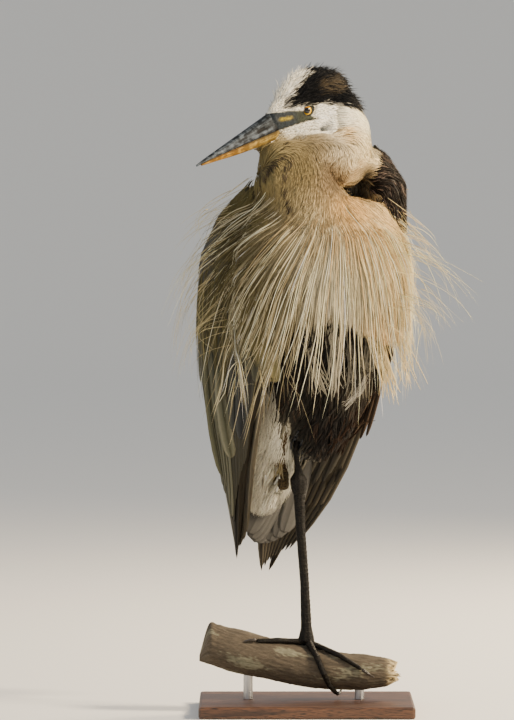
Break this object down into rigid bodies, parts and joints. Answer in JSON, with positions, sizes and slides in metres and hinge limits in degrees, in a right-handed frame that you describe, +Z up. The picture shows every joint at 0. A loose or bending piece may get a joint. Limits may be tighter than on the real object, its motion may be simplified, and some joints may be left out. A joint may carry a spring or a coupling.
{
  "type": "great blue heron",
  "caption": "Life-size great blue heron at rest on one leg, neck folded, long breast plumes hanging, on a short cut of branch held by a plain display stand.",
  "frame": {"origin": "centre of the stand base's underside", "axes": "+Z up; the breast faces -Y, turned 25 degrees towards +X; the bill points towards -X; the branch runs along X"},
  "size_m": [0.3728, 0.2538, 0.7492],
  "materials": {
    "slate_feathers": "grey-brown and slate contour and flight feathers with paler edges",
    "plumes": "long loose cream feathers",
    "face": "short white feathers with a black side stripe on the crown",
    "neck": "soft grey-buff feathers, white at the nape",
    "thigh": "fluffy sooty and rust-brown feathers",
    "bill_grey": "horny sheath, blue-grey with dark streaks",
    "bill_horn": "horny sheath, orange-yellow",
    "eyes": "glossy eye, yellow iris round a black pupil",
    "legs": "scaly grey-black skin",
    "claws": "smooth dark horn",
    "bark": "weathered grey-brown bark",
    "stand_wood": "oiled dark hardwood",
    "stand_metal": "satin steel rod"
  },
  "bodies": {
    "root": {"bill_lower": "bill_horn", "bill_upper": "bill_grey", "breast_plumes": "plumes", "chin": "face", "claw_hind": "claws", "claw_inner": "claws", "claw_middle": "claws", "claw_outer": "claws", "eye_left": "eyes", "eye_right": "eyes", "head": "face", "neck_lower": "neck", "neck_middle": "neck", "neck_upper": "neck", "perch": "bark", "plume_left_1": "plumes", "plume_left_2": "plumes", "plume_left_3": "plumes", "plume_left_4": "plumes", "plume_left_5": "plumes", "plume_right_1": "plumes", "plume_right_2": "plumes", "plume_right_3": "plumes", "plume_right_4": "plumes", "shin_left": "legs", "shin_right": "legs", "stand_base": "stand_wood", "stand_rod_left": "stand_metal", "stand_rod_right": "stand_metal", "tail": "slate_feathers", "tarsus_left": "legs", "tarsus_right": "legs", "thigh_left": "thigh", "toe_hind": "legs", "toe_inner": "legs", "toe_middle": "legs", "toe_outer": "legs", "trunk": "slate_feathers", "wing_left": "slate_feathers", "wing_right": "slate_feathers"}
  },
  "joints": []
}
